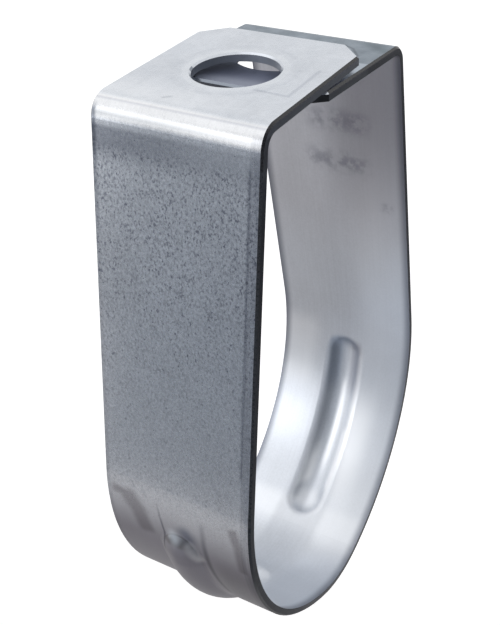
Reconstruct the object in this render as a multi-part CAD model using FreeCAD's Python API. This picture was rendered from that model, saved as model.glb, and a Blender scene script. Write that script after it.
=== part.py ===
import FreeCAD, Part
import math
import os

# Loop pipe hanger, millimetres, +Z up.
# One steel strip is folded into a pear-shaped loop. Its two ends lie over each other as flat tabs.
# The origin is the centre of the rod hole, half way through the upper tab.
# X runs across the strip, Y from the leg of the upper tab to the leg of the lower tab.

# Strip
strip_width = 25.4
sheet = 1.25
overall_height = 95.5

# Loop outline, all radii on the outer face
bottom_radius = 17.1
bottom_half_angle = 20.0
side_radius = 35.0
leg_lean = 8.9
upper_bend_radius = 3.3
lower_bend_radius = 3.1

# Tabs, lengths measured from the end of the bend
upper_tab_length = 25.7
upper_hole_distance = 12.0
lower_tab_length = 24.3
lower_hole_distance = 11.3
lower_tab_rise = 3.5
tab_gap = 0.2
hole_diameter = 11.9
corner_across = 3.5
corner_along = 3.4

# Pressed beads, one on each side arc, with the angles left plain before and after them
bead_width = 7.2
bead_height = 1.55
bead_run_in = 3.2
bead_run_out = 12.9
bead_shoulder = 0.9

# Rims rolled over by the shear and by the punch
edge_roll = 0.3
hole_roll = 0.25

# The upper tab belongs to the leg on the -Y side, the lower tab to the leg on the +Y side.
UPPER = -1
LOWER = 1
ACROSS = FreeCAD.Vector(1.0, 0.0, 0.0)


def on_plane(y, z):
    """Point of the loop's middle plane."""
    return FreeCAD.Vector(0.0, y, z)


def turn(angle):
    """Unit vector of the middle plane, at an angle from straight down towards +Y."""
    a = math.radians(angle)
    return on_plane(math.sin(a), -math.cos(a))


def arc(centre, radius, first, last):
    points = [centre + turn(angle) * radius for angle in (first, 0.5 * (first + last), last)]
    return Part.Arc(*points).toShape()


# The loop is drawn about its own middle, with its lowest point at height zero.
leg_turn = 90.0 + leg_lean
bottom_centre = on_plane(0.0, bottom_radius)


def side_centre(side):
    return bottom_centre + turn(side * bottom_half_angle) * (bottom_radius - side_radius)


# The upper tab is level. The lower tab rises to its tip, which stops short of the upper tab.
lower_tip_height = overall_height - sheet - tab_gap
lower_start_height = lower_tip_height - lower_tab_length * math.sin(math.radians(lower_tab_rise))
bend_radius = {UPPER: upper_bend_radius, LOWER: lower_bend_radius}
tab_rise = {UPPER: 0.0, LOWER: lower_tab_rise}
tab_length = {UPPER: upper_tab_length, LOWER: lower_tab_length}
tab_height = {UPPER: overall_height, LOWER: lower_start_height}
hole_distance = {UPPER: upper_hole_distance, LOWER: lower_hole_distance}


def tab_turn(side):
    """Angle at which a bend ends and its tab begins."""
    return 180.0 - tab_rise[side]


def tab_normal(side):
    return turn(side * tab_turn(side))


def tab_direction(side):
    """Along a tab, from its bend to its tip."""
    return turn(side * (tab_turn(side) + 90.0))


def bend_centre(side):
    """Centre of a bend, at the height that sets its tab's outer face."""
    foot = side_centre(side) + turn(side * leg_turn) * (side_radius - bend_radius[side])
    height = tab_height[side] - bend_radius[side] * tab_normal(side).z
    up_the_leg = turn(side * (leg_turn + 90.0))
    return foot + up_the_leg * ((height - foot.z) / up_the_leg.z)


def tab_start(side):
    return bend_centre(side) + tab_normal(side) * bend_radius[side]


def half_path(side, depth):
    """Edges from the lowest point to a tab's tip, at a depth below the outer face."""
    foot = side_centre(side) + turn(side * leg_turn) * (side_radius - depth)
    knee = bend_centre(side) + turn(side * leg_turn) * (bend_radius[side] - depth)
    start = tab_start(side) - tab_normal(side) * depth
    tip = start + tab_direction(side) * tab_length[side]
    return [
        arc(bottom_centre, bottom_radius - depth, 0.0, side * bottom_half_angle),
        arc(side_centre(side), side_radius - depth, side * bottom_half_angle, side * leg_turn),
        Part.makeLine(foot, knee),
        arc(bend_centre(side), bend_radius[side] - depth, side * leg_turn, side * tab_turn(side)),
        Part.makeLine(start, tip),
    ]


# Folded strip
outline = []
for side in (UPPER, LOWER):
    outer_path = half_path(side, 0.0)
    inner_path = half_path(side, sheet)
    tip_edge = Part.makeLine(outer_path[-1].Vertexes[-1].Point, inner_path[-1].Vertexes[-1].Point)
    outline += outer_path + inner_path + [tip_edge]
section = Part.Face(Part.Wire(Part.__sortEdges__(outline)))
section.translate(ACROSS * (-0.5 * strip_width))
band = section.extrude(ACROSS * strip_width)

# Clipped corners of both tips and the punched rod holes, all square to their own tabs.
# The cuts go half way into the gap between the tabs, so that neither tab's cut marks the other.
overshoot = 0.5 * tab_gap
for side in (UPPER, LOWER):
    along = tab_direction(side)
    above = tab_start(side) + tab_normal(side) * overshoot
    through = tab_normal(side) * -(sheet + 2.0 * overshoot)
    for hand in (-1.0, 1.0):
        across = ACROSS * hand
        corner = above + along * tab_length[side] + across * (0.5 * strip_width)
        points = [
            corner - across * corner_across,
            corner - across * corner_across + along,
            corner + across + along,
            corner + across - along * corner_along,
            corner - along * corner_along,
        ]
        clip = Part.Face(Part.makePolygon(points + points[:1])).extrude(through)
        band = band.cut(clip)
    hole_centre = above + along * hole_distance[side]
    band = band.cut(Part.makeCylinder(0.5 * hole_diameter, through.Length, hole_centre, through))

# Rolled-over rims. The shear and the punch entered on the outer face, so only its rims are rolled.
outer_wires = [Part.Wire(half_path(side, 0.0)) for side in (UPPER, LOWER)]


def samples(edge):
    first, last = edge.ParameterRange
    return [edge.valueAt(first + (last - first) * share) for share in (0.0, 0.21, 0.5, 0.83, 1.0)]


def on_outer_face(point):
    level = Part.Vertex(on_plane(point.y, point.z))
    return min(level.distToShape(wire)[0] for wire in outer_wires) < 1e-4


def is_rim(solid, edge):
    """Whether an edge of the outer face borders a cut face."""
    points = samples(edge)
    if not all(on_outer_face(point) for point in points):
        return False
    faces = solid.ancestorsOfType(edge, Part.Face)
    normals = [face.normalAt(*face.Surface.parameter(points[2])) for face in faces]
    return abs(normals[0].dot(normals[1])) < 0.5


strip_rims = [edge for edge in band.Edges if not edge.isClosed() and is_rim(band, edge)]
band = band.makeChamfer(edge_roll, strip_rims)
hole_rims = [edge for edge in band.Edges if edge.isClosed() and is_rim(band, edge)]
band = band.makeChamfer(hole_roll, hole_rims)

# Pressed beads. Each is a tube bent round its side arc, with a ball at each end.
# The ridge outside and the groove inside share their centre line, so the sheet keeps its thickness.
# Each form stands on a pad that lies in its face of the sheet, with a fillet round the crease.
crown_radius = (0.25 * bead_width ** 2 + bead_height ** 2) / (2.0 * bead_height)
spine_radius = side_radius + bead_height - crown_radius
reach_cosine = side_radius ** 2 + spine_radius ** 2 - crown_radius ** 2
end_reach = math.degrees(math.acos(reach_cosine / (2.0 * side_radius * spine_radius)))
bead_start = bottom_half_angle + bead_run_in
bead_end = leg_turn - bead_run_out


def bead_form(side, radius):
    centre = side_centre(side)
    axis = ACROSS * side
    first = bead_start + end_reach
    last = bead_end - end_reach
    start = centre + turn(side * first) * spine_radius
    ring = Part.Face(Part.Wire(Part.makeCircle(radius, start, turn(side * (first + 90.0)))))
    tube = ring.revolve(centre, axis, last - first)
    balls = []
    for angle, away in ((first, -1.0), (last, 1.0)):
        middle = centre + turn(side * angle) * spine_radius
        crown = middle + turn(side * angle) * radius
        half_circle = Part.Arc(middle - axis * radius, crown, middle + axis * radius).toShape()
        base = Part.makeLine(middle + axis * radius, middle - axis * radius)
        half_disc = Part.Face(Part.Wire([half_circle, base]))
        balls.append(half_disc.revolve(middle, axis * away, 180.0))
    return tube.fuse(balls)


def side_cylinder(side, radius):
    start = side_centre(side) - ACROSS * strip_width
    return Part.makeCylinder(radius, 2.0 * strip_width, start, ACROSS)


def pad(side, radius, depth):
    """Block under the side arc's surface of this radius, a little larger than the bead."""
    centre = side_centre(side)
    first = side * (bead_start - 0.5 * bead_run_in)
    last = side * (bead_end + 0.5 * bead_run_out)
    top = arc(centre, radius, first, last)
    base = arc(centre, radius - depth, first, last)
    ends = []
    for angle in (first, last):
        ends.append(Part.makeLine(centre + turn(angle) * radius, centre + turn(angle) * (radius - depth)))
    face = Part.Face(Part.Wire(Part.__sortEdges__([top, base] + ends)))
    face.translate(ACROSS * -bead_width)
    return face.extrude(ACROSS * (2.0 * bead_width))


def crease_edges(solid, side, radius):
    """Edges where a bead's form leaves the surface of its pad."""
    centre = side_centre(side)
    found = []
    for edge in solid.Edges:
        points = samples(edge)
        clear_of_rim = all(abs(p.x) < 0.9 * bead_width for p in points)
        on_arc = all(abs(math.hypot(p.y - centre.y, p.z - centre.z) - radius) < 1e-4 for p in points)
        if clear_of_rim and on_arc:
            found.append(edge)
    return found


for side in (UPPER, LOWER):
    middle_depth = 0.5 * sheet
    ridge = bead_form(side, crown_radius).cut(side_cylinder(side, side_radius - middle_depth))
    ridge = ridge.fuse(pad(side, side_radius, middle_depth))
    ridge = ridge.makeFillet(bead_shoulder, crease_edges(ridge, side, side_radius))
    inner_radius = side_radius - sheet
    groove = bead_form(side, crown_radius - sheet).fuse(pad(side, inner_radius, 2.0 * crown_radius))
    groove = groove.makeFillet(bead_shoulder + sheet, crease_edges(groove, side, inner_radius))
    band = band.fuse(ridge).cut(groove).removeSplitter()

# The finished band is set with its rod hole at the origin.
hole_top = tab_start(UPPER) + tab_direction(UPPER) * upper_hole_distance
band.translate(tab_normal(UPPER) * (0.5 * sheet) - hole_top)

os.makedirs("parts", exist_ok=True)
band.exportStep("parts/loop_band.step")
box = band.optimalBoundingBox(False)
print("solids", len(band.Solids), "valid", band.isValid(), "volume", round(band.Volume, 1))
print("size", round(box.XLength, 2), round(box.YLength, 2), round(box.ZLength, 2))
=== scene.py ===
import bpy
from mathutils import Matrix, Vector

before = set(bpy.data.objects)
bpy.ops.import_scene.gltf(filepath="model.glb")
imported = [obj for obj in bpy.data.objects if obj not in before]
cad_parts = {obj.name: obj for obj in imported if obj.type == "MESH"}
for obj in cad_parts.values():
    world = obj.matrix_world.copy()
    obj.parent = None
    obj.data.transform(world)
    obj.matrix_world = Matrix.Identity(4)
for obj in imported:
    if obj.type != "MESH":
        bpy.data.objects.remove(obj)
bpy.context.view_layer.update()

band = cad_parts["loop_band"]
scene = bpy.context.scene
scene.view_settings.view_transform = "Standard"

# Camera, fitted to the strip's edges, tabs and hole. Its axes point right, up and back.
CAMERA_PLACE = (0.068645, -0.107362, 0.050107)
CAMERA_AXES = (
    (0.859367, 0.508756, -0.051533),
    (-0.253386, 0.511196, 0.821264),
    (0.444166, -0.692709, 0.568217),
)
CAMERA_LENS = 58.907
SENSOR_WIDTH = 36.0

# Strip, in millimetres of the part's own frame, as everywhere in the steel's material
METRE = 1000.0
HALF_WIDTH = 12.7
HOLE_RADIUS = 5.95
LOOP_MIDDLE = (0.0, 4.8, -45.0)
BEAD_TOP = -63.4

# Colours of the steel
ZINC = (0.61, 0.64, 0.69)
# Light flecks, and the painted highlights and reflections
BRIGHT_ZINC = (0.90, 0.92, 0.95)
# Painted highlight across the foot of the inside
FOOT_HIGHLIGHT = (0.88, 0.90, 0.93)
# Painted highlight on the rim of the hole
RIM_HIGHLIGHT = (0.80, 0.83, 0.86)
PIT = (0.20, 0.215, 0.26)
# Painted light and shade on the near bead
BEAD_LIGHT = (0.72, 0.78, 0.84)
BEAD_GREY = (0.52, 0.52, 0.54)
SHEARED_DARK = (0.03, 0.033, 0.045)
SHEARED_LIGHT = (0.12, 0.125, 0.15)
SHEARED_TOP = (0.24, 0.25, 0.28)
HOLE_WALL = (0.30, 0.33, 0.38)
# Rims: burr with painted shade
LEG_BURR_AND_SHADE = (0.06, 0.063, 0.072)
TAB_BURR_AND_SHADE = (0.02, 0.021, 0.025)

# Marks on the tabs in X and Y, each with its start, end and width
NICK = ((-3.5, -11.5), (-2.9, -11.0), 0.5)
PRESSED_CORNER = (
    ((5.8, -5.0), (10.6, -5.2), 0.5),
    ((10.6, -5.2), (10.4, 3.6), 0.5),
)
GREENISH_STAIN = ((8.5, 22.4), (12.0, 19.8), 2.0)
CURVED_SCRATCH = (
    ((5.6, 20.2), (7.5, 19.2), 0.35),
    ((7.5, 19.2), (9.6, 16.4), 0.35),
)

# Marks on the near leg in X and Z, each with its start, end and width, and some with a softness. The
# creases carry painted shade, and the bead's spots and shoulder painted light and shade.
LEFT_CREASE_TOP = ((-3.35, -58.7), (-2.6, -64.0), 0.35)
LEFT_CREASE = ((-2.6, -64.0), (-2.4, -70.0), 0.4)
RUB_MARKS = (
    ((-10.9, -58.6), (-8.6, -58.8), 1.4, 1.3),
    ((-8.6, -59.0), (-7.0, -61.4), 2.4, 1.8),
    ((-7.1, -61.2), (-6.1, -65.0), 2.2, 1.6),
    ((9.8, -58.2), (10.5, -60.6), 1.3, 1.0),
    ((10.5, -60.4), (11.0, -66.0), 1.2, 1.0),
)
BEAD_LIT_SPOT = ((-1.1, -63.6), (-0.4, -64.2), 1.5)
BEAD_DIM_SPOT = ((1.3, -62.5), (1.8, -63.3), 2.1)
BEAD_SHOULDER = ((1.9, -64.9), (3.3, -67.3), 1.2)

# Right crease of the near bead: it starts straight and then curves away from the middle
RIGHT_CREASE_X = 4.5
RIGHT_CREASE_CURVE = 0.007
RIGHT_CREASE_TURN = -62.0

# Studio, in metres: middle of the loop, and the ways that the cards face
MIDDLE = (0.0, 0.0, -0.045)
UP = (0.0, 0.0, 1.0)
BACK = (0.0, 1.0, 0.0)
LEFT = (-1.0, 0.0, 0.0)
RIGHT_AND_FRONT = (0.094, -0.035, 0.0)
WHITE = (1.0, 1.0, 1.0)
WORLD_LIGHT = 0.6


def add_camera():
    data = bpy.data.cameras.new("camera")
    data.lens = CAMERA_LENS
    data.sensor_width = SENSOR_WIDTH
    data.clip_start = 0.005
    data.clip_end = 20.0
    camera = bpy.data.objects.new("camera", data)
    camera.matrix_world = Matrix.Translation(CAMERA_PLACE) @ Matrix(CAMERA_AXES).transposed().to_4x4()
    scene.collection.objects.link(camera)
    scene.camera = camera


class Nodes:
    """Short calls for building one node tree."""

    def __init__(self, owner):
        owner.use_nodes = True
        self.tree = owner.node_tree
        self.tree.nodes.clear()

    def add(self, kind, inputs=None, **settings):
        node = self.tree.nodes.new(kind)
        for name, value in settings.items():
            setattr(node, name, value)
        for name, value in (inputs or {}).items():
            self.feed(node.inputs[name], value)
        return node

    def feed(self, socket, value):
        if isinstance(value, bpy.types.NodeSocket):
            self.tree.links.new(value, socket)
        else:
            socket.default_value = value

    def math(self, operation, a, b=0.0):
        node = self.add("ShaderNodeMath", operation=operation)
        for socket, value in zip(node.inputs, (a, b)):
            self.feed(socket, value)
        return node.outputs[0]

    def times(self, first, *others):
        for other in others:
            first = self.math("MULTIPLY", first, other)
        return first

    def plus(self, first, *others):
        for other in others:
            first = self.math("ADD", first, other)
        return first

    def less(self, first, other):
        return self.math("SUBTRACT", first, other)

    def most(self, first, *others):
        for other in others:
            first = self.math("MAXIMUM", first, other)
        return first

    def size(self, value):
        return self.math("ABSOLUTE", value)

    def step(self, value, low, high, out_low=0.0, out_high=1.0):
        """Smooth change from out_low to out_high as value goes from low to high."""
        node = self.add("ShaderNodeMapRange", interpolation_type="SMOOTHSTEP")
        limits = (low, high, out_low, out_high)
        self.feed(node.inputs["Value"], value)
        for name, item in zip(("From Min", "From Max", "To Min", "To Max"), limits):
            self.feed(node.inputs[name], item)
        return node.outputs[0]

    def below(self, value, low, high, rest=0.0):
        """One under low, falling to the rest at high."""
        return self.step(value, low, high, 1.0, rest)

    def within(self, value, low, high, soft):
        """One between low and high, fading to zero over a soft margin outside them."""
        return self.times(self.step(value, low - soft, low), self.below(value, high, high + soft))

    def near(self, value, centre, reach):
        """One at the centre, fading to zero at the reach on both sides."""
        return self.below(self.size(self.less(value, centre)), 0.0, reach)

    def stroke(self, u, v, start, end, width, soft=None):
        """Straight mark from start to end in the plane of u and v, with soft borders."""
        soft = width if soft is None else soft
        (u0, v0), (u1, v1) = start, end
        length = ((u1 - u0) ** 2 + (v1 - v0) ** 2) ** 0.5
        du, dv = (u1 - u0) / length, (v1 - v0) / length
        along = self.plus(self.times(self.less(u, u0), du), self.times(self.less(v, v0), dv))
        aside = self.less(self.times(self.less(u, u0), dv), self.times(self.less(v, v0), du))
        inside = self.within(aside, soft - width, width - soft, soft)
        return self.times(inside, self.within(along, 0.0, length, soft))

    def strokes(self, u, v, *marks):
        """Straight marks as one. Each has its start, end and width, and may have a softness."""
        return self.most(*(self.stroke(u, v, *mark) for mark in marks))

    def mix(self, factor, a, b, blend="MIX"):
        """Mix of two colours. The node has its colour sockets at 6 and 7, and their result at 2."""
        node = self.add("ShaderNodeMix", data_type="RGBA", blend_type=blend)
        self.feed(node.inputs[0], factor)
        self.feed(node.inputs[6], a)
        self.feed(node.inputs[7], b)
        return node.outputs[2]

    def paint(self, factor, colour, over):
        """Colour covered by a second colour, as far as the factor says."""
        return self.mix(factor, colour, (*over, 1.0))

    def tint(self, factor, colour, by):
        """Colour multiplied by a second colour, as far as the factor says."""
        return self.mix(factor, colour, (*by, 1.0), "MULTIPLY")

    def mapped(self, vector, scale=(1.0, 1.0, 1.0), shift=(0.0, 0.0, 0.0), turn=(0.0, 0.0, 0.0)):
        inputs = {"Vector": vector, "Scale": scale, "Location": shift, "Rotation": turn}
        return self.add("ShaderNodeMapping", inputs).outputs[0]

    def noise(self, vector, scale, detail=2.0, rough=0.5, distortion=0.0):
        inputs = {
            "Vector": vector,
            "Scale": scale,
            "Detail": detail,
            "Roughness": rough,
            "Distortion": distortion,
        }
        return self.add("ShaderNodeTexNoise", inputs).outputs[0]

    def split(self, vector):
        return self.add("ShaderNodeSeparateXYZ", {"Vector": vector}).outputs

    def seen(self):
        """One where the camera or a reflection sees the surface, zero where it only gives light."""
        rays = self.add("ShaderNodeLightPath").outputs
        return self.most(rays["Is Camera Ray"], rays["Is Glossy Ray"], rays["Is Transmission Ray"])


class Strip:
    """Where a point lies on the strip. Each region is one inside it and zero elsewhere."""

    def __init__(self, n):
        source = n.add("ShaderNodeTexCoord")
        normal = source.outputs["Normal"]
        place = n.mapped(source.outputs["Object"], (METRE, METRE, METRE))
        x, y, z = n.split(place)
        nx, _, nz = n.split(normal)
        self.place, self.x, self.y, self.z, self.nz = place, x, y, z, nz
        self.across = n.size(x)
        self.sideways = n.size(nx)
        self.from_hole = n.math("SQRT", n.plus(n.times(x, x), n.times(y, y)))

        from_middle = n.add("ShaderNodeVectorMath", {0: place, 1: LOOP_MIDDLE}, operation="SUBTRACT")
        facing = {0: from_middle.outputs[0], 1: normal}
        outward = n.add("ShaderNodeVectorMath", facing, operation="DOT_PRODUCT").outputs["Value"]
        self.outer = n.step(outward, -2.0, 2.0)
        self.inner = n.less(1.0, self.outer)

        # Tabs
        level = n.step(nz, 0.8, 0.95)
        top = n.times(level, n.step(z, -4.0, -3.4))
        self.top = top
        self.lower_top = n.times(top, n.below(z, 0.1, 0.3))
        self.lower_back = n.times(top, n.step(y, 13.5, 14.0))
        self.upper_top = n.times(top, n.step(z, 0.3, 0.5))
        self.hole_rim = n.times(level, n.step(z, 0.0, 0.3), n.within(self.from_hole, 6.0, 6.9, 0.5))
        self.at_tabs = n.step(z, -4.6, -4.2)

        # Legs and foot
        self.near_bend = n.times(self.outer, n.below(y, -12.6, -12.0))
        self.near_leg = n.times(self.outer, n.below(y, -10.0, -8.0), n.below(nz, 0.5, 0.8))
        self.foot = n.times(self.near_leg, n.below(z, -68.0, -56.0))
        self.far_inside = n.times(self.inner, n.step(y, 8.0, 10.0))

        # Faces left by the shear and the punch
        in_tabs = n.times(self.at_tabs, n.within(y, -11.5, 21.5, 0.5))
        upright = n.below(n.size(nz), 0.4, 0.55)
        self.cut = n.most(n.step(self.sideways, 0.74, 0.9), n.times(in_tabs, upright))
        close_to_hole = n.below(self.from_hole, HOLE_RADIUS + 0.35, HOLE_RADIUS + 0.65)
        self.hole_wall = n.times(close_to_hole, n.step(z, -0.8, -0.6))


# Galvanised steel
def zinc(n, at, grain, lines):
    """Broad clouds, fine grain and lengthwise rolling lines."""
    clouds = n.noise(n.mapped(at.place, (1.0, 1.0, 0.6)), 0.09, 3.0, 0.55)
    tone = n.plus(
        n.step(clouds, 0.25, 0.75, 0.95, 1.05),
        n.step(grain, 0.2, 0.8, -0.05, 0.05),
        n.step(lines, 0.2, 0.8, -0.03, 0.03),
    )
    grey = n.add("ShaderNodeCombineColor", {0: tone, 1: tone, 2: tone}).outputs[0]
    return n.mix(1.0, (*ZINC, 1.0), grey, "MULTIPLY")


def paint_highlights(n, at, colour):
    """Painted highlights and reflections on the upper tab beside its bend, the lower part of the near
    leg, and the right half and groove of the inside.
    """
    x, y, z = at.x, at.y, at.z
    beside_bend = n.times(at.top, n.below(y, -12.0, -5.0), n.below(x, -2.0, 8.0, 0.3), 0.4)
    low_on_leg = n.times(at.near_leg, n.below(z, -50.0, -25.0), 0.25)
    right_half = n.times(at.inner, n.step(x, -1.0, 8.0), 0.35)
    groove = n.plus(
        n.times(n.within(x, 5.0, 5.2, 4.5), n.within(z, -83.0, -79.0, 9.0), 0.75),
        n.times(n.near(x, 0.2, 1.0), n.within(z, -86.0, -75.0, 3.0), 0.8),
        n.times(n.near(x, 2.7, 1.0), n.within(z, -88.6, -82.0, 2.0), n.step(z, -90.0, -88.8), 0.7),
        n.times(n.near(x, -2.0, 1.4), n.within(z, -88.8, -87.0, 4.0), n.step(z, -90.2, -89.0)),
        n.times(n.below(x, -8.0, -4.0), n.within(z, -72.0, -64.0, 5.0), 0.5),
    )
    painted_highlights = n.plus(beside_bend, low_on_leg, right_half, n.times(at.far_inside, groove))
    return n.paint(painted_highlights, colour, BRIGHT_ZINC)


def speckle(n, at, colour):
    """Dark specks and pits and light flecks on the outer face, longer along one diagonal.

    They fade towards the bends and the foot. Returns the colour and the dark marks.
    """
    z = at.z
    slanted = n.mapped(at.place, (1.0, 1.0, 0.7), turn=(0.0, 0.6, 0.0))
    speckled = n.times(
        at.outer,
        n.step(z, -62.0, -54.0),
        n.step(z, -50.0, -10.0, 0.4, 1.0),
        n.below(z, -6.5, -4.0, 0.3),
        n.below(at.nz, 0.17, 0.45, 0.1),
    )
    mottle = n.noise(slanted, 3.0, 3.0, 0.65)
    specks = n.step(mottle, 0.45, 0.65)
    flecks = n.below(mottle, 0.32, 0.43)
    patchy = n.step(n.noise(at.place, 0.5, 3.0, 0.6), 0.3, 0.7, 0.6, 1.0)
    pits = n.step(n.noise(n.mapped(slanted, shift=(31.0, 7.0, 3.0)), 2.2, 2.0, 0.5), 0.62, 0.70)
    marks = n.times(speckled, n.plus(n.times(specks, patchy), n.times(pits, 0.8)))
    colour = n.paint(n.times(speckled, flecks, 0.25), colour, BRIGHT_ZINC)
    return n.paint(marks, colour, PIT), marks


def mark_inside(n, at, colour):
    """Far leg's inside: warmer grey, soft smudges, painted shade under the tabs, on the groove's flanks
    and along the edges, and a painted highlight across the foot.
    """
    x, y, z = at.x, at.y, at.z
    warm = n.times(at.far_inside, n.step(z, -50.0, -30.0), 0.8)
    colour = n.tint(warm, colour, (0.94, 0.91, 0.90))
    blotchy = n.step(n.noise(at.place, 0.55, 3.0, 0.6), 0.36, 0.62, 0.1, 1.0)
    smudges = n.plus(
        n.times(n.within(x, -1.5, 4.5, 4.0), n.near(z, -16.9, 3.4)),
        n.times(n.within(x, -2.5, 4.5, 3.5), n.near(z, -24.6, 3.2)),
        n.times(n.near(x, 9.4, 1.8), n.near(z, -32.0, 1.6)),
    )
    colour = n.tint(n.times(at.far_inside, smudges, blotchy, 0.7), colour, (0.50, 0.50, 0.55))
    # Painted shade under the tabs
    under_tabs = n.times(at.far_inside, n.step(z, -45.0, -13.0), n.step(x, -5.0, 6.0))
    colour = n.tint(under_tabs, colour, (0.55, 0.54, 0.56))

    # Painted shade on the groove's flanks
    in_groove = n.times(at.far_inside, n.step(z, -77.0, -72.0), n.below(z, BEAD_TOP - 2.0, BEAD_TOP))
    left_flank = n.times(in_groove, n.within(x, -2.6, -1.6, 1.0))
    colour = n.tint(left_flank, colour, (0.80, 0.83, 0.88))
    right_flank = n.times(in_groove, n.within(x, 1.4, 2.8, 1.0))
    colour = n.tint(right_flank, colour, (0.72, 0.72, 0.75))

    # Painted highlight across the foot
    foot_highlight = n.times(at.inner, n.step(y, 4.0, 8.0), n.within(z, -92.2, -91.3, 1.3), 0.4)
    colour = n.paint(foot_highlight, colour, FOOT_HIGHLIGHT)
    # Painted shade along the edges
    beside_edge = n.step(at.across, HALF_WIDTH - 1.7, HALF_WIDTH)
    dark_edge = n.times(at.inner, beside_edge, n.below(at.sideways, 0.3, 0.5), 0.9)
    return n.tint(dark_edge, colour, (0.34, 0.35, 0.39))


def mark_lower_tab(n, at, colour):
    """Lower tab: painted shade of the upper tab over its top and where the hole shows it, darker at its
    tip, stained behind the upper tab.
    """
    x, y = at.x, at.y
    # Painted shade of the upper tab over the lower tab's top, deeper where the hole shows it
    colour = n.tint(n.times(at.lower_top, 0.9), colour, (0.56, 0.62, 0.67))
    seen_in_hole = n.times(at.lower_top, n.below(y, 4.0, 8.0))
    colour = n.tint(seen_in_hole, colour, (0.60, 0.58, 0.66))
    middle_of_hole = n.times(at.lower_top, n.within(y, 2.0, 6.0, 2.5))
    colour = n.tint(middle_of_hole, colour, (0.55, 0.57, 0.66))
    tip_rim = n.times(at.outer, at.at_tabs, n.within(y, -2.4, -1.5, 0.3), n.below(at.nz, 0.8, 0.9))
    colour = n.tint(tip_rim, colour, (0.35, 0.37, 0.40))

    stain = n.step(n.noise(at.place, 0.35, 3.0, 0.6), 0.25, 0.75, 0.55, 1.0)
    colour = n.tint(n.times(at.lower_back, stain), colour, (0.36, 0.41, 0.44))
    greenish = n.times(at.lower_back, n.strokes(x, y, GREENISH_STAIN), 0.8)
    colour = n.tint(greenish, colour, (0.50, 0.58, 0.60))
    scratch = n.times(at.lower_back, n.strokes(x, y, *CURVED_SCRATCH), 0.8)
    return n.tint(scratch, colour, (0.35, 0.38, 0.42))


def mark_upper_tab(n, at, colour, corner):
    """Upper tab: painted highlight on the hole's rim, pressed corner, small nick, rings round the hole,
    scuffs.
    """
    # Painted highlight on the rim of the hole
    colour = n.paint(n.times(at.hole_rim, 0.25), colour, RIM_HIGHLIGHT)
    colour = n.tint(n.times(at.upper_top, corner, 0.42), colour, (0.55, 0.57, 0.62))
    nick = n.times(at.outer, at.at_tabs, n.strokes(at.x, at.y, NICK), 0.45)
    colour = n.tint(nick, colour, (0.45, 0.47, 0.50))
    broken = n.step(n.noise(at.place, 0.4, 2.0, 0.5), 0.4, 0.6)
    rings = n.times(n.near(at.from_hole, 8.3, 0.7), broken)
    colour = n.tint(n.times(at.upper_top, rings, 0.35), colour, (0.80, 0.81, 0.83))
    turned = n.mapped(at.place, turn=(0.0, 0.0, 0.6))
    scuffs = n.step(n.noise(turned, 0.42, 4.0, 0.6, 0.6), 0.35, 0.65)
    return n.tint(n.times(at.upper_top, scuffs, 0.25), colour, (0.76, 0.78, 0.80))


def shade_near_bend(n, at, colour):
    """Near bend: its highlight is creamy, and held back above and below the brightest line."""
    nz = at.nz
    shade = n.plus(n.near(nz, 0.925, 0.08), n.times(n.near(nz, 0.36, 0.14), 1.2))
    colour = n.tint(n.times(at.near_bend, shade), colour, (0.86, 0.86, 0.86))
    creamy = n.times(at.near_bend, n.within(nz, 0.3, 0.88, 0.08))
    colour = n.tint(creamy, colour, (1.0, 0.968, 0.925))
    under_line = n.times(at.near_bend, n.near(nz, 0.42, 0.26), n.below(at.x, -6.0, 12.0, 0.65))
    return n.tint(under_line, colour, (0.56, 0.57, 0.58))


def mark_near_leg(n, at, colour):
    """Near leg: painted shade in a band under the bend, scored right edge, scuffed left edge."""
    x, z = at.x, at.z
    # Painted shade: a darker band under the bend
    band_heights = n.times(n.below(z, -3.2, -2.4), n.step(z, -8.5, -4.6))
    under_bend = n.times(at.near_leg, band_heights, n.below(x, -12.0, 12.0, 0.35))
    colour = n.tint(under_bend, colour, (0.52, 0.53, 0.56))

    score = n.noise(n.mapped(at.place, (7.0, 0.12, 0.12)), 1.0, 4.0, 0.7)
    right_edge = n.times(at.near_leg, n.step(x, 10.9, 11.25), n.step(score, 0.35, 0.65, 0.4, 1.0))
    colour = n.tint(right_edge, colour, (0.72, 0.72, 0.74))
    line = n.times(n.near(x, 11.05, 0.4), n.within(z, -48.0, -5.0, 1.5))
    score_line = n.times(at.near_leg, line, n.step(score, 0.3, 0.6, 0.6, 1.0))
    colour = n.tint(score_line, colour, (0.60, 0.61, 0.64))

    scuffed = n.step(n.noise(at.place, 1.2, 3.0, 0.6), 0.3, 0.6, 0.5, 1.0)
    left_edge = n.times(at.near_leg, n.below(x, -12.1, -11.5), n.step(z, -22.0, -4.0, 0.35, 1.0))
    return n.tint(n.times(left_edge, scuffed), colour, (0.36, 0.38, 0.42))


def bead_creases(n, at):
    """Creases on both sides of the near bead, which carry painted shade and a slight dent: straight on
    the left, curved away on the right.
    """
    x, z = at.x, at.z
    upper_left = n.times(n.strokes(x, z, LEFT_CREASE_TOP), n.below(z, -64.0, -58.0, 0.3))
    lower_left = n.strokes(x, z, LEFT_CREASE)
    past_turn = n.most(n.less(RIGHT_CREASE_TURN, z), 0.0)
    away = n.times(RIGHT_CREASE_CURVE, n.math("POWER", past_turn, 2.0))
    curve = n.near(x, n.plus(RIGHT_CREASE_X, away), 0.8)
    right = n.times(curve, n.within(z, -76.0, -60.0, 1.5), n.below(z, -68.0, -59.0, 0.4))
    return n.times(at.near_leg, n.most(upper_left, lower_left, right))


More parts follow.
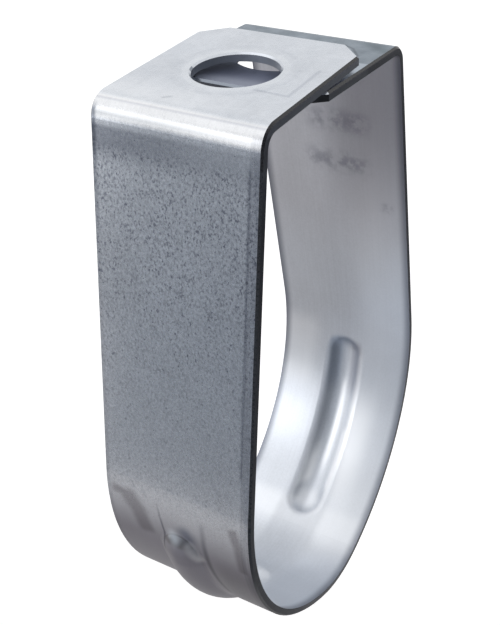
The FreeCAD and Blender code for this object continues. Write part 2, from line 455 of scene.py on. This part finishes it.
def mark_foot(n, at, colour, creases):
    """Foot of the near leg: darker and browner as a painted reflection, with curved rub marks, and with
    painted light and shade round the bead.
    """
    x, z = at.x, at.z
    # Painted reflection: the foot darker and browner
    colour = n.tint(at.foot, colour, (0.385, 0.362, 0.388))
    # Painted reflection: the right part of the foot darker still
    right_part = n.times(at.near_leg, n.below(z, -70.0, -64.0), n.step(x, 4.0, 8.0))
    colour = n.tint(right_part, colour, (0.68, 0.68, 0.68))
    rub = n.times(at.near_leg, n.strokes(x, z, *RUB_MARKS), 0.85)
    colour = n.tint(rub, colour, (0.56, 0.54, 0.55))
    # Painted shade along the bead's creases
    colour = n.tint(n.times(creases, 0.9), colour, (0.38, 0.385, 0.42))

    # Painted highlight on the bead's end
    lit = n.times(at.near_leg, n.strokes(x, z, BEAD_LIT_SPOT), 0.55)
    colour = n.paint(lit, colour, BEAD_LIGHT)
    # Painted shade beside it
    dim = n.times(at.near_leg, n.strokes(x, z, BEAD_DIM_SPOT), 0.85)
    colour = n.tint(dim, colour, (0.50, 0.53, 0.60))
    # Painted light: grey laid over the shaded wedge at the bead's shoulder
    shoulder = n.times(at.near_leg, n.strokes(x, z, BEAD_SHOULDER), 0.8)
    return n.paint(shoulder, colour, BEAD_GREY)


def sheared_rim(n, at):
    """Burr and painted shade on the rounded rims of the strip's long edges and of the tabs, but not on
    the upper hole's.
    """
    outside_hole = n.step(at.from_hole, HOLE_RADIUS + 0.65, HOLE_RADIUS + 0.95)
    off_hole = n.times(at.at_tabs, n.most(outside_hole, n.below(at.z, -0.9, -0.7)))
    at_rim = n.most(n.step(at.across, HALF_WIDTH - 0.8, HALF_WIDTH - 0.5), off_hole)
    return n.times(at_rim, n.step(at.sideways, 0.55, 0.65), n.below(at.sideways, 0.76, 0.86))


def mark_cut_faces(n, at, colour, burr_and_shade):
    """Sheared faces: dark bare steel, greyer high on the near side and on the hole's wall, with painted
    shade below the upper tab.
    """
    z = at.z
    bare = n.mix(n.noise(at.place, 3.0, 4.0, 0.7), (*SHEARED_DARK, 1.0), (*SHEARED_LIGHT, 1.0))
    high = n.times(n.step(z, -12.0, -3.0), n.below(at.y, 12.0, 14.0), 0.55)
    bare = n.paint(high, bare, SHEARED_TOP)
    # Painted shade: cut faces below the upper tab are darker than the upper tab's own
    darker = n.most(n.below(z, -85.0, -70.0), n.below(z, -0.9, -0.7))
    bare = n.tint(darker, bare, (0.6, 0.6, 0.6))
    bare = n.paint(n.times(at.hole_wall, 0.8), bare, HOLE_WALL)
    colour = n.mix(at.cut, colour, bare)
    # Nearly black rims: burr with painted shade on the rounded rim
    return n.mix(burr_and_shade, colour, n.mix(at.at_tabs, (*LEG_BURR_AND_SHADE, 1.0), (*TAB_BURR_AND_SHADE, 1.0)))


def roughness(n, at, grain, marks):
    x, z = at.x, at.z
    groove = n.times(at.inner, n.within(x, -3.8, 3.8, 1.5), n.below(z, -60.0, -57.0))
    bead_end = n.times(at.near_leg, n.within(x, 0.0, 3.4, 1.2), n.within(z, -68.5, -62.5, 1.5))
    return n.plus(
        n.step(grain, 0.2, 0.8, 0.24, 0.30),
        n.times(at.inner, 0.10),
        n.times(at.lower_top, 0.08),
        n.times(groove, n.step(z, -87.0, -80.0, 0.14, 0.06)),
        n.times(marks, 0.15),
        n.times(at.foot, 0.05),
        n.times(bead_end, 0.16),
        n.times(at.cut, 0.08),
    )


def relief(n, at, grain, lines, marks, creases, corner):
    """Heights in millimetres, with the legs' edges rolled over and the lower tab's top left smooth."""
    right_roll = n.step(at.x, 11.5, 14.0)
    left_roll = n.times(n.below(at.x, -14.0, -11.5), 0.2)
    on_legs = n.below(at.z, -6.0, -3.5)
    return n.plus(
        n.times(grain, n.step(at.lower_top, 0.0, 1.0, 0.0035, 0.0)),
        n.times(lines, n.step(at.lower_top, 0.0, 1.0, 0.004, 0.001)),
        n.times(marks, -0.003),
        n.times(at.outer, n.most(right_roll, left_roll), on_legs, -0.35),
        n.times(creases, -0.03),
        n.times(at.upper_top, corner, -0.03),
    )


def galvanised():
    """Zinc-coated steel with the wear that the photo shows."""
    material = bpy.data.materials.new("galvanised_steel")
    n = Nodes(material)
    at = Strip(n)
    grain = n.noise(at.place, 2.4, 4.0, 0.65)
    lines = n.noise(n.mapped(at.place, (4.0, 0.05, 0.05)), 1.0, 4.0, 0.65)
    creases = bead_creases(n, at)
    corner = n.strokes(at.x, at.y, *PRESSED_CORNER)
    burr_and_shade = sheared_rim(n, at)

    # The colour below holds painted highlights, reflections and shade as well as the steel's tone and
    # wear
    colour = zinc(n, at, grain, lines)
    colour = paint_highlights(n, at, colour)
    colour, marks = speckle(n, at, colour)
    colour = mark_inside(n, at, colour)
    colour = mark_lower_tab(n, at, colour)
    colour = mark_upper_tab(n, at, colour, corner)
    colour = shade_near_bend(n, at, colour)
    colour = mark_near_leg(n, at, colour)
    colour = mark_foot(n, at, colour, creases)
    colour = mark_cut_faces(n, at, colour, burr_and_shade)

    dull = n.most(n.times(burr_and_shade, 0.85), n.times(at.hole_wall, at.cut, 0.6))
    height = relief(n, at, grain, lines, marks, creases, corner)
    bump = n.add("ShaderNodeBump", {"Height": height, "Strength": 1.0, "Distance": 1.0 / METRE})
    inputs = {
        "Base Color": colour,
        "Metallic": n.less(1.0, dull),
        "Roughness": roughness(n, at, grain, marks),
        "Normal": bump.outputs[0],
    }
    shader = n.add("ShaderNodeBsdfPrincipled", inputs)
    n.add("ShaderNodeOutputMaterial", {"Surface": shader.outputs[0]})
    return material


# Studio
def plain(name, colour, glow=0.0):
    """Matt stage material. The camera and reflections also see it glow."""
    material = bpy.data.materials.new(name)
    n = Nodes(material)
    matt = n.add("ShaderNodeBsdfDiffuse", {"Color": (*colour, 1.0)}).outputs[0]
    strength = n.times(n.seen(), glow)
    light = n.add("ShaderNodeEmission", {"Color": (*WHITE, 1.0), "Strength": strength}).outputs[0]
    both = n.add("ShaderNodeAddShader", {0: matt, 1: light}).outputs[0]
    n.add("ShaderNodeOutputMaterial", {"Surface": both})
    return material


def card(name, material, place, facing, width, height, hidden=True):
    """Flat stage sheet. A hidden one shows in reflections only and casts no shadow."""
    bpy.ops.mesh.primitive_plane_add(size=1.0)
    sheet = bpy.context.active_object
    sheet.name = name
    sheet.scale = (width, height, 1.0)
    sheet.location = place
    sheet.rotation_euler = Vector(facing).to_track_quat("Z", "Y").to_euler()
    sheet.data.materials.append(material)
    if hidden:
        sheet.visible_camera = False
        sheet.visible_shadow = False


def softbox(name, place, width, height, power):
    """Rectangular lamp that points at the middle of the loop."""
    data = bpy.data.lights.new(name, "AREA")
    data.shape = "RECTANGLE"
    data.size = width
    data.size_y = height
    data.energy = power
    lamp = bpy.data.objects.new(name, data)
    lamp.location = place
    lamp.rotation_euler = (Vector(MIDDLE) - Vector(place)).to_track_quat("-Z", "Y").to_euler()
    scene.collection.objects.link(lamp)


def white_world():
    """White to the camera and in reflections, weaker as a light."""
    world = bpy.data.worlds.new("studio")
    scene.world = world
    n = Nodes(world)
    strength = n.step(n.seen(), 0.0, 1.0, WORLD_LIGHT, 1.0)
    background = n.add("ShaderNodeBackground", {"Color": (*WHITE, 1.0), "Strength": strength})
    n.add("ShaderNodeOutputWorld", {"Surface": background.outputs[0]})


add_camera()
band.data.materials.clear()
band.data.materials.append(galvanised())

white_floor = plain("floor", (0.86, 0.86, 0.86), glow=0.66)
warm_mat = plain("mat", (0.72, 0.70, 0.70))
pale_card = plain("front_card", (0.78, 0.80, 0.83))
grey_card = plain("grey_card", (0.74, 0.78, 0.84))
dark_card = plain("dark_card", (0.24, 0.26, 0.29))
dim_card = plain("dim_card", (0.31, 0.34, 0.38))
card("floor", white_floor, (0.0, 0.0, -0.22), UP, width=8.0, height=8.0, hidden=False)
card("mat", warm_mat, (-0.16, -0.10, -0.17), UP, width=0.4, height=0.4)
card("front_card", pale_card, (-0.14, -0.36, -0.20), BACK, width=0.6, height=0.26)
card("leg_card", grey_card, (0.034, -0.05, -0.036), BACK, width=0.136, height=0.074)
card("leg_side_card", grey_card, (-0.044, -0.075, -0.036), RIGHT_AND_FRONT, width=0.055, height=0.074)
card("right_mat", dark_card, (0.26, 0.05, -0.15), UP, width=0.42, height=0.8)
card("right_card", dark_card, (0.40, -0.1, 0.06), LEFT, width=1.0, height=0.5)
card("front_right_card", dim_card, (0.20, -0.42, 0.02), BACK, width=0.36, height=0.34)

white_world()
softbox("front_softbox", (-0.25, -0.42, 0.14), width=0.40, height=0.34, power=0.72)
softbox("top_softbox", (-0.24, -0.06, 0.45), width=0.5, height=0.5, power=0.36)
